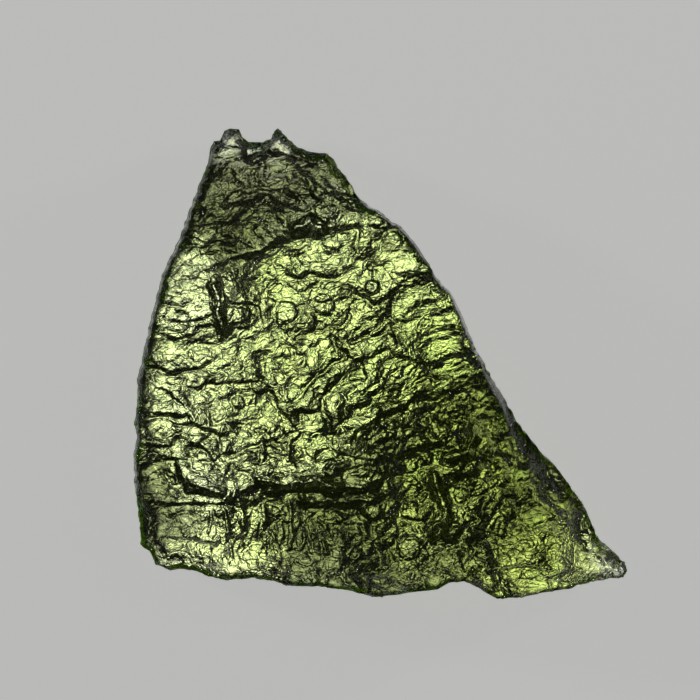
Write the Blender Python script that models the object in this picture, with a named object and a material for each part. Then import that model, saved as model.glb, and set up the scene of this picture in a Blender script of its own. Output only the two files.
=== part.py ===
"""A moldavite: one etched shard of olive-green natural glass, lying on its broad back face.

X runs along its width, Y towards its narrow tip, and Z up from the face it lies on.
"""

import math

import bpy
from mathutils import Vector, noise
from mathutils.geometry import delaunay_2d_cdt

MM = 0.001

# The edge seen from above, clockwise from the tooth at the narrow tip, in millimetres.
OUTLINE = (
    (-11.1, 14.1), (-10.9, 14.5), (-10.5, 14.5), (-10.2, 15.1), (-9.8, 15.3), (-9.2, 15.2),
    (-9.0, 14.7), (-8.6, 14.4), (-7.7, 14.4), (-7.2, 14.6), (-7.0, 15.1), (-6.7, 15.3),
    (-6.4, 15.1), (-6.0, 14.6), (-5.5, 14.2), (-4.8, 13.8), (-3.6, 13.7), (-3.1, 13.4),
    (-2.7, 12.7), (-2.2, 12.1), (-1.8, 11.5), (-1.5, 10.9), (-0.7, 10.2), (0.1, 9.8),
    (0.7, 9.2), (1.4, 8.9), (2.1, 8.0), (3.4, 6.1), (4.0, 5.1), (4.5, 4.7), (5.1, 3.6),
    (6.1, 1.2), (7.3, -1.0), (9.0, -3.9), (9.8, -4.9), (10.7, -6.0), (11.5, -6.8),
    (13.1, -9.0), (13.7, -10.3), (14.2, -11.4), (15.1, -12.2), (15.9, -12.9), (16.1, -13.5),
    (15.8, -14.0), (14.6, -14.1), (13.3, -14.4), (12.0, -14.7), (10.3, -14.9), (9.0, -15.2),
    (7.5, -15.3), (6.7, -15.0), (6.3, -14.6), (5.3, -14.2), (4.4, -14.3), (3.6, -14.7),
    (0.9, -15.1), (-0.2, -15.3), (-1.2, -15.1), (-2.1, -14.8), (-3.8, -14.6), (-6.2, -14.5),
    (-7.0, -14.2), (-8.5, -14.0), (-9.9, -14.2), (-11.2, -13.9), (-12.3, -13.5),
    (-13.7, -13.5), (-14.7, -13.1), (-15.1, -12.3), (-15.7, -11.8), (-15.7, -10.7),
    (-16.1, -7.6), (-16.1, -5.8), (-15.9, -4.7), (-16.1, -4.0), (-15.9, -2.7), (-15.9, -1.1),
    (-15.1, 2.5), (-14.3, 5.7), (-13.2, 8.1), (-12.3, 10.5), (-11.3, 13.0),
)

# The height of the front face at a few places: x, y and height.
THICKNESS = (
    (-14.0, -3.0, 3.1), (-12.5, -11.5, 2.7), (-12.0, 5.0, 3.0), (-8.0, 12.5, 2.6),
    (-6.0, 5.0, 4.3), (-5.0, -4.0, 4.4), (1.0, 6.5, 4.3), (-1.0, 1.0, 4.9),
    (5.0, -1.0, 6.0), (8.5, -6.0, 6.8), (9.5, -9.0, 6.1), (3.0, -8.0, 5.7),
    (-3.0, -9.5, 4.3), (-4.0, -12.5, 3.2), (4.0, -12.5, 4.1), (9.5, -12.3, 4.9),
    (14.0, -13.0, 2.8), (7.5, 1.0, 5.2),
)

# How far in from the edge the front face has come up to its full height: x, y and width.
EDGE_WIDTHS = (
    (-16.0, -6.0, 0.40), (-14.5, 4.0, 0.40), (-11.5, 13.0, 0.40), (-5.0, 14.2, 0.50),
    (0.5, 9.5, 0.50), (4.0, 5.0, 0.50), (6.5, 0.5, 0.55), (8.0, -2.5, 0.70), (9.7, -4.7, 1.1),
    (12.0, -8.0, 1.9), (13.8, -10.8, 1.7), (16.0, -13.5, 0.7), (10.5, -15.0, 1.2),
    (5.5, -14.4, 1.1), (-1.0, -15.2, 1.6), (-8.0, -14.2, 1.8), (-14.5, -13.2, 1.9),
)

# The height of the front face's edge: x, y and height.
RIM_HEIGHTS = (
    (-16.0, -4.0, 2.6), (-12.0, 9.0, 2.4), (-8.0, 15.0, 1.9), (0.0, 9.5, 3.5), (4.5, 4.0, 4.1),
    (7.0, -1.0, 4.4), (9.7, -4.7, 5.0), (12.0, -8.0, 4.5), (13.8, -10.8, 3.1), (16.0, -13.5, 1.7),
    (9.0, -15.0, 4.0), (5.5, -14.4, 3.6), (-1.0, -15.0, 2.8), (-8.0, -14.2, 2.4),
    (-14.5, -13.0, 2.2),
)

# The broad furrows of the front: half width, depth and the line, in millimetres.
FURROWS = (
    (0.45, 0.45, ((-9.9, 10.8), (-8.5, 10.5), (-7.1, 10.8), (-5.6, 10.3), (-4.6, 9.8))),
    (0.55, 0.70, ((-5.0, 12.6), (-3.9, 12.1), (-2.9, 11.5), (-2.3, 10.6))),
    (0.55, 0.75, ((-11.4, 6.2), (-9.9, 6.8), (-8.5, 7.2), (-7.1, 7.8), (-5.9, 8.5),
                  (-4.9, 9.2), (-3.9, 8.9))),
    (0.40, 0.65, ((-5.7, 6.0), (-4.5, 6.1), (-2.9, 5.9))),
    (0.60, 0.90, ((-10.8, 5.2), (-10.6, 4.1), (-10.4, 2.8))),
    (0.45, 0.70, ((-0.6, 3.6), (-1.4, 3.6), (-1.8, 2.7), (-2.7, 1.9), (-2.5, 1.2),
                  (-1.5, 0.7), (-1.0, 0.1), (-0.7, -0.6), (-1.2, -1.4), (-2.3, -1.6),
                  (-3.2, -2.3), (-3.3, -3.1), (-2.7, -3.9), (-1.6, -4.1))),
    (0.35, 0.45, ((-0.9, 0.5), (0.3, 1.2), (1.6, 0.5), (3.2, 0.1), (4.8, 1.0))),
    (0.35, 0.40, ((-14.9, 0.1), (-14.2, -0.2), (-13.1, -0.3), (-11.2, -0.1))),
    (0.35, 0.40, ((-14.9, -1.2), (-13.5, -1.5), (-12.6, -1.2), (-11.2, -0.8))),
    (0.35, 0.40, ((-13.2, -2.5), (-12.3, -2.1), (-10.3, -1.5), (-8.6, -1.2))),
    (0.40, 0.50, ((-15.2, -3.2), (-13.4, -3.4), (-11.8, -3.8), (-10.3, -4.3))),
    (0.35, 0.45, ((-9.9, -5.5), (-8.8, -5.1), (-7.7, -4.7), (-6.2, -4.7))),
    (0.60, 0.95, ((-12.9, -7.0), (-12.1, -7.6), (-11.1, -8.1), (-9.7, -8.3), (-8.2, -7.8),
                  (-6.2, -7.9), (-4.0, -7.9), (-2.0, -8.0), (-0.4, -7.6))),
    (0.40, 0.55, ((-9.2, -6.8), (-7.2, -6.7), (-5.3, -6.9), (-2.7, -6.6), (-0.6, -6.2),
                  (1.2, -5.9))),
    (0.40, 0.50, ((-5.4, -3.2), (-4.6, -2.2), (-3.8, -1.4), (-2.3, -0.3), (-1.3, 0.2))),
    (0.35, 0.45, ((-7.1, -1.6), (-6.3, -3.1), (-5.7, -3.8))),
    (0.50, 0.75, ((-0.9, -3.8), (0.6, -2.9), (1.6, -2.4), (2.5, -1.6), (3.8, -1.3),
                  (5.5, -0.8))),
    (0.40, 0.50, ((-3.3, -5.7), (-1.4, -5.0), (0.3, -4.5), (2.5, -4.0), (4.2, -4.0))),
    (0.50, 0.70, ((5.9, -4.0), (5.7, -5.1), (4.8, -5.8), (3.8, -6.4), (3.3, -7.6),
                  (3.8, -8.6), (4.8, -9.4))),
    (0.50, 0.60, ((7.5, -4.4), (7.9, -5.4), (8.7, -6.3), (9.8, -7.0))),
    (0.40, 0.45, ((6.4, -13.4), (8.1, -13.0), (9.7, -12.8), (11.1, -13.1), (12.6, -13.2))),
    (0.40, 0.40, ((5.0, -11.8), (5.5, -12.5), (6.2, -13.1))),
    (0.40, 0.40, ((-0.1, -8.6), (1.2, -9.2), (2.5, -9.7))),
)

# The round bubble pits of the front: x, y, radius and depth.
PITS = (
    (-9.1, 3.1, 0.75, 0.45), (-9.9, 4.7, 0.60, 0.55), (-6.1, 3.6, 0.85, 0.35),
    (-3.6, 3.6, 0.80, 0.35), (-0.5, 4.9, 0.65, 0.55), (-13.1, 2.7, 0.85, 0.30),
    (-9.1, -2.5, 0.60, 0.35), (-7.8, -1.3, 0.65, 0.35), (0.4, -1.4, 0.80, 0.35),
    (0.8, 8.0, 0.80, 0.30), (2.0, -11.8, 0.90, 0.35), (10.3, -10.1, 0.75, 0.30),
    (5.6, -8.4, 0.55, 0.45),
)

FRONT_STEP = 0.49  # spacing of the front's points
BACK_STEP = 0.85
RIM_STEP = 0.50
CLEARANCE = 0.62  # how close a lattice point comes to the rim or a furrow, in steps
FURROW_CLEARANCE = 0.25  # how close a furrow's floor comes to the rim
SAME = 0.0001  # points closer together than this count as one
ROUGH_EDGE = 0.10  # how far the edge wanders between the outline's points
ROUGH_SCALE = 1.9
UPPER_INSET = 0.16  # how far the rim's upper and lower lines lie in from its widest line
LOWER_INSET = 0.22
RIM_LOW = 0.45  # height of the rim's lower line over the surface the stone lies on
RIM_MIDDLE = 0.95
RIM_LIFT = 0.35  # how far the rim's widest line rises and falls
RIM_SCALE = 0.8
EDGE_STRAIGHT = 0.65  # how much of the slope in from the edge is straight, the rest rounded
NEAREST = 0.3  # keeps the weight of a control point finite at the point itself
FALLOFF = 1.5
FLOW_ANGLE = math.radians(8.0)  # the etched bands rise this much to the right
CELL_LENGTH = 2.1  # one etched scale, along the flow and across it
CELL_WIDTH = 1.25
CELL_DEPTH = 0.62
CELL_CREST = 0.75  # distance from a scale's middle at which its crest is cut off
CELL_MIDDLE = 0.4
CELL_BEND = 0.5
BEND_SCALE = 0.35
FURROW_POWER = 0.8  # below one, a furrow's walls are steepest at its floor
SWELL_LENGTH = 5.5
SWELL_DEPTH = 0.30
BACK_CELL = 2.6
BACK_DEPTH = 0.55
BACK_WORN = 0.24  # what the back loses where it has worn flat
BACK_RISE = 0.35  # how far the back rises towards the edge, and over what width
BACK_RISE_WIDTH = 1.6

# The part of each noise field that is used.
CELL_SEED = 1.0
EDGE_SEED = 3.0
BACK_SEED = 5.0
SWELL_SEED = 7.0
RIM_SEED = 11.0

GLASS_COLOUR = (0.62, 0.72, 0.30, 1.0)
GLASS_ROUGHNESS = 0.06
GLASS_IOR = 1.49


def shepard(controls, x, y):
    """The last value of each control point, weighed by its nearness to (x, y)."""
    total = 0.0
    weights = 0.0
    for cx, cy, value in controls:
        weight = 1.0 / ((x - cx) ** 2 + (y - cy) ** 2 + NEAREST) ** FALLOFF
        total += weight * value
        weights += weight
    return total / weights


def smooth(t):
    t = min(max(t, 0.0), 1.0)
    return t * t * (3.0 - 2.0 * t)


def segment_distance(x, y, start, end):
    ax, ay = start
    bx, by = end
    dx, dy = bx - ax, by - ay
    t = ((x - ax) * dx + (y - ay) * dy) / (dx * dx + dy * dy)
    t = min(max(t, 0.0), 1.0)
    return math.hypot(x - ax - t * dx, y - ay - t * dy)


def line_distance(x, y, line):
    return min(segment_distance(x, y, a, b) for a, b in zip(line, line[1:]))


def resampled(line, step):
    """The line's own points, with even points between them about a step apart."""
    points = []
    for (ax, ay), (bx, by) in zip(line, line[1:]):
        parts = max(1, round(math.hypot(bx - ax, by - ay) / step))
        points += [(ax + (bx - ax) * i / parts, ay + (by - ay) * i / parts) for i in range(parts)]
    return points + [line[-1]]


def normals_of(ring):
    """Unit vectors pointing out of a clockwise ring."""
    found = []
    count = len(ring)
    for i in range(count):
        ax, ay = ring[i - 1]
        bx, by = ring[(i + 1) % count]
        length = math.hypot(bx - ax, by - ay)
        found.append(((ay - by) / length, (bx - ax) / length))
    return found


def offset(ring, amounts):
    return [
        (x + nx * amount, y + ny * amount)
        for (x, y), (nx, ny), amount in zip(ring, normals_of(ring), amounts)
    ]


def rim_ring():
    """The widest line of the edge, a little ragged between the outline's own points."""
    ring = resampled(OUTLINE + OUTLINE[:1], RIM_STEP)[:-1]
    own = set(OUTLINE)
    bumps = []
    for x, y in ring:
        chip = abs(noise.noise(Vector((x * ROUGH_SCALE, y * ROUGH_SCALE, EDGE_SEED))))
        bumps.append(0.0 if (x, y) in own else -ROUGH_EDGE * chip)
    return offset(ring, bumps)


def scales(x, y):
    """Shallow cups with sharp crests between them, longer along the flow than across."""
    along = x * math.cos(FLOW_ANGLE) + y * math.sin(FLOW_ANGLE)
    across = y * math.cos(FLOW_ANGLE) - x * math.sin(FLOW_ANGLE)
    bend = CELL_BEND * noise.noise(Vector((along * BEND_SCALE, across * BEND_SCALE, CELL_SEED)))
    spot = Vector((along / CELL_LENGTH, (across + bend) / CELL_WIDTH, CELL_SEED))
    nearest = noise.voronoi(spot)[0][0]
    return CELL_DEPTH * (min(nearest, CELL_CREST) - CELL_MIDDLE)


def furrow_depth(x, y):
    deepest = 0.0
    for half, depth, line in FURROWS:
        away = line_distance(x, y, line) / half
        if away < 1.0:
            deepest = max(deepest, depth * (1.0 - away) ** FURROW_POWER)
    return deepest


def pit_depth(x, y):
    total = 0.0
    for cx, cy, radius, depth in PITS:
        away = math.hypot(x - cx, y - cy) / radius
        total += depth * (1.0 - smooth(away)) if away < 1.0 else 0.0
    return total


def front_height(x, y, edge):
    """Height of the front face, where edge is how far in from the rim the point lies."""
    swell = SWELL_DEPTH * noise.noise(Vector((x / SWELL_LENGTH, y / SWELL_LENGTH, SWELL_SEED)))
    relief = swell + scales(x, y) - furrow_depth(x, y) - pit_depth(x, y)
    full = shepard(THICKNESS, x, y) + relief
    risen = min(edge / shepard(EDGE_WIDTHS, x, y), 1.0)
    share = EDGE_STRAIGHT * risen + (1.0 - EDGE_STRAIGHT) * math.sin(risen * math.pi / 2.0)
    rim = shepard(RIM_HEIGHTS, x, y)
    return rim + (full - rim) * share


def back_height(x, y, edge):
    """Height of the back face, worn flat where it touches what it lies on."""
    nearest = noise.voronoi(Vector((x / BACK_CELL, y / BACK_CELL, BACK_SEED)))[0][0]
    raised = BACK_RISE * (1.0 - smooth(edge / BACK_RISE_WIDTH))
    return max(0.0, BACK_DEPTH * nearest + raised - BACK_WORN)


def lattice(ring, kept_clear, step):
    """Hexagonal points inside the ring, clear of it and of the given points."""
    clear = (CLEARANCE * step) ** 2
    inside = []
    closed = ring + ring[:1]
    edges = list(zip(closed, closed[1:]))
    low = min(y for _, y in ring)
    high = max(y for _, y in ring)
    row_height = step * math.sqrt(3.0) / 2.0
    for row in range(1, math.ceil((high - low) / row_height)):
        y = low + row * row_height
        shift = 0.5 * step * (row % 2)
        crossings = sorted(
            a[0] + (y - a[1]) * (b[0] - a[0]) / (b[1] - a[1])
            for a, b in edges
            if (a[1] > y) != (b[1] > y)
        )
        for left, right in zip(crossings[::2], crossings[1::2]):
            first = math.ceil((left - shift) / step)
            last = math.floor((right - shift) / step)
            inside += [(column * step + shift, y) for column in range(first, last + 1)]
    return [
        p
        for p in inside
        if min((p[0] - q[0]) ** 2 + (p[1] - q[1]) ** 2 for q in kept_clear) > clear
    ]


def filled(ring, lines, step):
    """Triangles over the ring: its points first, then those of the lines, then a lattice."""
    points = list(ring)
    count = len(ring)
    bonds = [(i, (i + 1) % count) for i in range(count)]
    for line in lines:
        start = len(points)
        points += line
        bonds += [(start + i, start + i + 1) for i in range(len(line) - 1)]
    points += lattice(ring, points, step)
    coords = [Vector(p) for p in points]
    verts, _, faces, _, _, _ = delaunay_2d_cdt(coords, bonds, [], 1, SAME)
    return [(v.x, v.y) for v in verts], [tuple(f) for f in faces]


def furrow_lines(ring):
    """Each furrow's floor as a line of points, left out where it would meet the rim."""
    closed = ring + ring[:1]
    lines = []
    for _, _, line in FURROWS:
        points = resampled(line, FRONT_STEP)
        lines.append([p for p in points if line_distance(*p, closed) > FURROW_CLEARANCE])
    return lines


def stone_mesh():
    """Vertices in metres and triangles facing out: front, rim and back in one closed skin."""
    rim = rim_ring()
    count = len(rim)
    upper = offset(rim, [-UPPER_INSET] * count)
    lower = offset(rim, [-LOWER_INSET] * count)

    top_points, top_faces = filled(upper, furrow_lines(upper), FRONT_STEP)
    bottom_points, bottom_faces = filled(lower, [], BACK_STEP)
    top_ring = upper + upper[:1]
    bottom_ring = lower + lower[:1]

    verts = [(x, y, front_height(x, y, line_distance(x, y, top_ring))) for x, y in top_points]
    middle_start = len(verts)
    for x, y in rim:
        lift = RIM_LIFT * noise.noise(Vector((x * RIM_SCALE, y * RIM_SCALE, RIM_SEED)))
        verts.append((x, y, RIM_MIDDLE + lift))
    bottom_start = len(verts)
    for x, y in bottom_points:
        edge = line_distance(x, y, bottom_ring)
        verts.append((x, y, RIM_LOW if edge < SAME else back_height(x, y, edge)))

    faces = list(top_faces)
    faces += [tuple(bottom_start + i for i in reversed(face)) for face in bottom_faces]
    for i in range(count):
        j = (i + 1) % count
        for above, below in ((0, middle_start), (middle_start, bottom_start)):
            faces.append((above + i, above + j, below + j))
            faces.append((above + i, below + j, below + i))
    return [(x * MM, y * MM, z * MM) for x, y, z in verts], faces


def glass_material():
    material = bpy.data.materials.new("moldavite_glass")
    material.use_nodes = True
    shader = material.node_tree.nodes["Principled BSDF"]
    shader.inputs["Base Color"].default_value = GLASS_COLOUR
    shader.inputs["Metallic"].default_value = 0.0
    shader.inputs["Roughness"].default_value = GLASS_ROUGHNESS
    shader.inputs["IOR"].default_value = GLASS_IOR
    shader.inputs["Transmission Weight"].default_value = 1.0
    return material


def build_stone():
    verts, faces = stone_mesh()
    mesh = bpy.data.meshes.new("moldavite")
    mesh.from_pydata(verts, [], faces)
    mesh.validate()
    mesh.materials.append(glass_material())
    stone = bpy.data.objects.new("moldavite", mesh)
    bpy.context.scene.collection.objects.link(stone)


for old in list(bpy.data.objects):
    bpy.data.objects.remove(old, do_unlink=True)
build_stone()
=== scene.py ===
import math

import bpy
import numpy as np
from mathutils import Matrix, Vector
from mathutils.geometry import delaunay_2d_cdt


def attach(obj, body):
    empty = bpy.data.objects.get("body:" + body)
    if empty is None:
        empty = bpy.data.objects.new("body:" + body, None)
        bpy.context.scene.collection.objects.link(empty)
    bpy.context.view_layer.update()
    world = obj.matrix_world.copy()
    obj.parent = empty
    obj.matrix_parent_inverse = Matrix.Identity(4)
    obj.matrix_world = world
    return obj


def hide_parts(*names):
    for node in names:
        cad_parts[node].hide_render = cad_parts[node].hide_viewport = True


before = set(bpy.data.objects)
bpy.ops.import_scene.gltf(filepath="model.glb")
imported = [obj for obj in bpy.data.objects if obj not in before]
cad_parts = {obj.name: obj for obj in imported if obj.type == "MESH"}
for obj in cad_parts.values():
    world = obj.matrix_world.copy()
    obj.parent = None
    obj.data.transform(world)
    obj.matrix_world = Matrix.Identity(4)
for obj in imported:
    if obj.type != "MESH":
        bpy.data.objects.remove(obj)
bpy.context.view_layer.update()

MM = 0.001

# The photograph: real millimetres to one of its pixels, and the pixel over the frame's origin.
PIXEL_MM = 0.065
ORIGIN_PIXEL = (381.0, 363.0)
PHOTO_SIZE = 700.0

# The edge seen from above, clockwise from the tooth at the narrow tip, in millimetres.
OUTLINE = (
    (-11.1, 14.1), (-10.9, 14.5), (-10.5, 14.5), (-10.2, 15.1), (-9.8, 15.3), (-9.2, 15.2),
    (-9.0, 14.7), (-8.6, 14.4), (-7.7, 14.4), (-7.2, 14.6), (-7.0, 15.1), (-6.7, 15.3),
    (-6.4, 15.1), (-6.0, 14.6), (-5.5, 14.2), (-4.8, 13.8), (-3.6, 13.7), (-3.1, 13.4),
    (-2.7, 12.7), (-2.2, 12.1), (-1.8, 11.5), (-1.5, 10.9), (-0.7, 10.2), (0.1, 9.8),
    (0.7, 9.2), (1.4, 8.9), (2.1, 8.0), (3.4, 6.1), (4.0, 5.1), (4.5, 4.7), (5.1, 3.6),
    (6.1, 1.2), (7.3, -1.0), (9.0, -3.9), (9.8, -4.9), (10.7, -6.0), (11.5, -6.8),
    (13.1, -9.0), (13.7, -10.3), (14.2, -11.4), (15.1, -12.2), (15.9, -12.9), (16.1, -13.5),
    (15.8, -14.0), (14.6, -14.1), (13.3, -14.4), (12.0, -14.7), (10.3, -14.9), (9.0, -15.2),
    (7.5, -15.3), (6.7, -15.0), (6.3, -14.6), (5.3, -14.2), (4.4, -14.3), (3.6, -14.7),
    (0.9, -15.1), (-0.2, -15.3), (-1.2, -15.1), (-2.1, -14.8), (-3.8, -14.6), (-6.2, -14.5),
    (-7.0, -14.2), (-8.5, -14.0), (-9.9, -14.2), (-11.2, -13.9), (-12.3, -13.5),
    (-13.7, -13.5), (-14.7, -13.1), (-15.1, -12.3), (-15.7, -11.8), (-15.7, -10.7),
    (-16.1, -7.6), (-16.1, -5.8), (-15.9, -4.7), (-16.1, -4.0), (-15.9, -2.7), (-15.9, -1.1),
    (-15.1, 2.5), (-14.3, 5.7), (-13.2, 8.1), (-12.3, 10.5), (-11.3, 13.0),
)

# The height of the front face at a few places: x, y and height.
THICKNESS = (
    (-14.0, -3.0, 3.1), (-12.5, -11.5, 2.7), (-12.0, 5.0, 3.0), (-8.0, 12.5, 2.6),
    (-6.0, 5.0, 4.3), (-5.0, -4.0, 4.4), (1.0, 6.5, 4.3), (-1.0, 1.0, 4.9),
    (5.0, -1.0, 6.0), (8.5, -6.0, 6.8), (9.5, -9.0, 6.1), (3.0, -8.0, 5.7),
    (-3.0, -9.5, 4.3), (-4.0, -12.5, 3.2), (4.0, -12.5, 4.1), (9.5, -12.3, 4.9),
    (14.0, -13.0, 2.8), (7.5, 1.0, 5.2),
)

# How far in from the edge the front face has come up to its full height: x, y and width.
EDGE_WIDTHS = (
    (-16.0, -6.0, 0.22), (-14.5, 4.0, 0.22), (-11.5, 13.0, 0.25), (-5.0, 14.2, 0.40),
    (0.5, 9.5, 0.16), (4.0, 5.0, 0.16), (6.5, 0.5, 0.16), (8.0, -2.5, 0.30), (9.7, -4.7, 1.1),
    (12.0, -8.0, 1.8), (13.8, -10.8, 1.6), (16.0, -13.5, 0.6), (10.5, -15.0, 1.3),
    (5.5, -14.4, 1.2), (-1.0, -15.2, 1.7), (-8.0, -14.2, 1.8), (-14.5, -13.2, 1.9),
)

# The height of the front face's edge: x, y and height.
RIM_HEIGHTS = (
    (-16.0, -4.0, 2.6), (-12.0, 9.0, 2.4), (-8.0, 15.0, 1.9), (0.0, 9.5, 3.5), (4.5, 4.0, 4.1),
    (7.0, -1.0, 4.4), (9.7, -4.7, 5.0), (12.0, -8.0, 4.5), (13.8, -10.8, 3.1), (16.0, -13.5, 1.7),
    (9.0, -15.0, 4.2), (5.5, -14.4, 3.8), (-1.0, -15.0, 3.1), (-8.0, -14.2, 2.5),
    (-14.5, -13.0, 2.2),
)

# The width of the thin lip outside the slope at the edge: x, y and width.
LIPS = (
    (-16.0, -6.0, 0.0), (-12.0, 9.0, 0.0), (-6.0, 14.5, 0.1), (0.5, 9.5, 0.0), (4.5, 4.5, 0.0),
    (7.5, -1.5, 0.05), (9.7, -4.7, 0.30), (12.0, -8.0, 0.42), (13.8, -10.8, 0.38),
    (16.0, -13.5, 0.2), (9.0, -15.0, 0.0), (-1.0, -15.0, 0.0), (-14.5, -13.2, 0.1),
)

# How strong the relief is at a few places: x, y and strength.
STRENGTHS = (
    (-14.0, -3.0, 1.0), (-13.0, 4.0, 1.0), (-8.0, 12.0, 1.6), (-6.0, 9.0, 1.6),
    (-5.0, 2.0, 1.1), (0.0, 6.0, 1.1), (3.5, 1.2, 0.6), (6.5, -1.0, 1.1), (0.5, -1.0, 1.2),
    (7.0, -6.0, 2.6), (9.5, -8.5, 2.4), (3.0, -6.0, 2.3), (4.0, -9.0, 2.4), (-5.0, -7.7, 2.0),
    (-11.0, -8.0, 1.5), (-3.0, -10.5, 2.4), (-8.0, -10.0, 1.6), (-13.0, -12.0, 0.5),
    (-8.5, -12.5, 0.8), (-4.0, -13.8, 0.8), (9.0, -12.0, 0.6), (12.0, -12.3, 0.5),
    (2.0, -12.0, 1.5), (15.0, -13.5, 0.9),
)

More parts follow.
